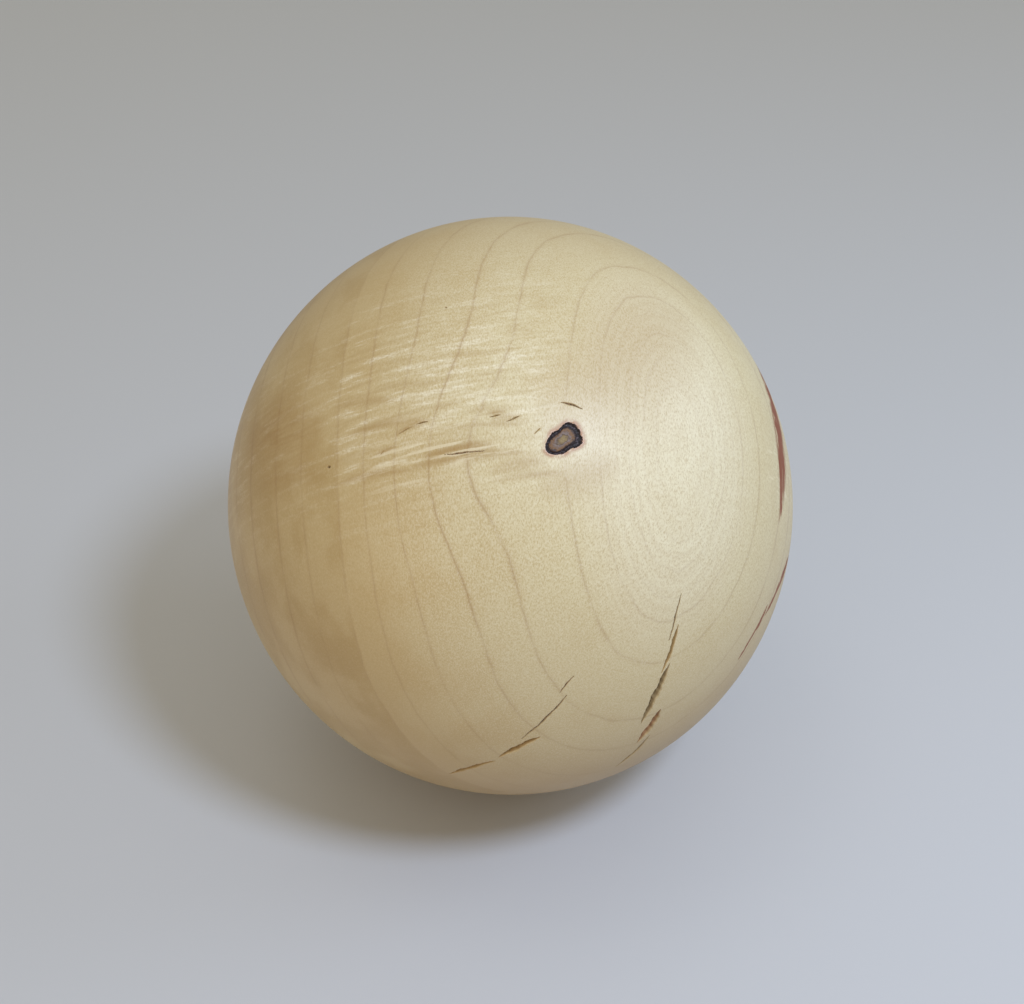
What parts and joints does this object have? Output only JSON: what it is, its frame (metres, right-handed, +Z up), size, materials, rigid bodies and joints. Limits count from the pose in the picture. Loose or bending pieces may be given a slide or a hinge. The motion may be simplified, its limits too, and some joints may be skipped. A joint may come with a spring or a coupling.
{
  "type": "wooden ball",
  "caption": "Solid turned ball of pale maple with a small dead knot, fine growth rings and drying checks; a desk or bench piece to hold, roll or display.",
  "frame": {"origin": "centre of the ball", "axes": "+Z up as it lies, -Z to the spot it touches the table with, -Y towards the side with the knot, +X level and nearly across the grain"},
  "size_m": [0.1, 0.1012, 0.1011],
  "materials": {
    "wood": "satin"
  },
  "bodies": {
    "root": {"ball": "wood"}
  },
  "joints": []
}
